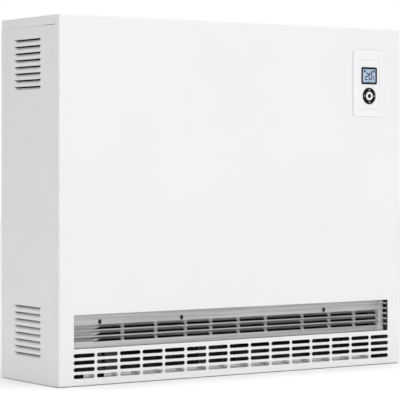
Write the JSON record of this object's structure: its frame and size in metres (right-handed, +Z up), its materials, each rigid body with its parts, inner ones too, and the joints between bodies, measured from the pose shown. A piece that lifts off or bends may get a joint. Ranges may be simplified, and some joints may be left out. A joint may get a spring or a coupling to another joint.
{
  "type": "fan storage heater",
  "caption": "Steel-cased floor-standing storage heater with side louvres, a low front air outlet, a slotted intake below it and a control unit with a display and a rocker ring.",
  "frame": {"origin": "on the floor, under the middle of the heater's overall box", "axes": "+X along the width, towards the control unit; -Y out of the front into the room; +Y towards the wall; +Z up"},
  "size_m": [0.78, 0.2134, 0.66],
  "materials": {
    "white_powder_coat": "satin",
    "galvanised_steel": "satin",
    "stainless_steel": "satin",
    "white_plastic": "satin",
    "black_plastic": "satin",
    "display_glass": "gloss",
    "circuit_board": "matte",
    "storage_brick": "matte",
    "insulation": "matte"
  },
  "bodies": {
    "casing": {"base_tray": "galvanised_steel", "cable_gland": "black_plastic", "control_board": "circuit_board", "control_frame": "white_plastic", "control_module": "white_plastic", "control_partition": "galvanised_steel", "core_shelf": "galvanised_steel", "display_bezel": "black_plastic", "display_panel": "display_glass", "fan_bearing_left": "black_plastic", "fan_bearing_right": "black_plastic", "fan_housing_left": "galvanised_steel", "fan_housing_right": "galvanised_steel", "fan_motor": "galvanised_steel", "flap_actuator": "black_plastic", "fluff_filter": "black_plastic", "foot_front_left": "black_plastic", "foot_front_right": "black_plastic", "foot_rear_left": "black_plastic", "foot_rear_right": "black_plastic", "front_panel": "white_powder_coat", "grille_screw_1": "stainless_steel", "grille_screw_2": "stainless_steel", "grille_screw_3": "stainless_steel", "heating_element_1": "stainless_steel", "heating_element_2": "stainless_steel", "heating_element_3": "stainless_steel", "inner_front_cover": "galvanised_steel", "insulation_base": "insulation", "insulation_front": "insulation", "insulation_left": "insulation", "insulation_rear": "insulation", "insulation_right": "insulation", "insulation_top": "insulation", "outlet_duct": "galvanised_steel", "outlet_grille": "stainless_steel", "power_board": "circuit_board", "rear_panel": "galvanised_steel", "safety_cutout": "black_plastic", "side_panel_left": "white_powder_coat", "side_panel_right": "white_powder_coat", "storage_brick_1_1": "storage_brick", "storage_brick_1_2": "storage_brick", "storage_brick_2_1": "storage_brick", "storage_brick_2_2": "storage_brick", "storage_brick_3_1": "storage_brick", "storage_brick_3_2": "storage_brick", "storage_brick_4_1": "storage_brick", "storage_brick_4_2": "storage_brick", "terminal_block": "white_plastic", "top_cover": "white_powder_coat"},
    "fan_rotor": {"fan_shaft": "stainless_steel", "fan_impeller_left": "black_plastic", "fan_impeller_right": "black_plastic"},
    "flap": {"mixing_flap": "galvanised_steel", "flap_spindle": "stainless_steel"},
    "ring_gimbal": {"ring_carrier": "white_plastic"},
    "ring": {"nav_ring": "black_plastic"},
    "button": {"ok_button": "white_plastic"}
  },
  "joints": [
    {"name": "fan_spin", "type": "hinge", "parent": "casing", "child": "fan_rotor", "pos_m": [0, 0.03, 0.05], "axis": [1, 0, 0], "continuous": true},
    {"name": "flap_swing", "type": "hinge", "parent": "casing", "child": "flap", "pos_m": [0, -0.0466, 0.142], "axis": [-1, 0, 0], "range_deg": [0, 50]},
    {"name": "ring_left_right", "type": "hinge", "parent": "casing", "child": "ring_gimbal", "pos_m": [0.3107, -0.10535, 0.5272], "axis": [0, 0, 1], "range_deg": [-2.5, 2.5], "stiffness_Nm_per_rad": 0.4},
    {"name": "ring_up_down", "type": "hinge", "parent": "ring_gimbal", "child": "ring", "pos_m": [0.3107, -0.10535, 0.5272], "axis": [1, 0, 0], "range_deg": [-2.5, 2.5], "stiffness_Nm_per_rad": 0.4},
    {"name": "button_press", "type": "slide", "parent": "casing", "child": "button", "axis": [0, 1, 0], "range_m": [0, 0.0008], "stiffness_N_per_m": 1500}
  ]
}
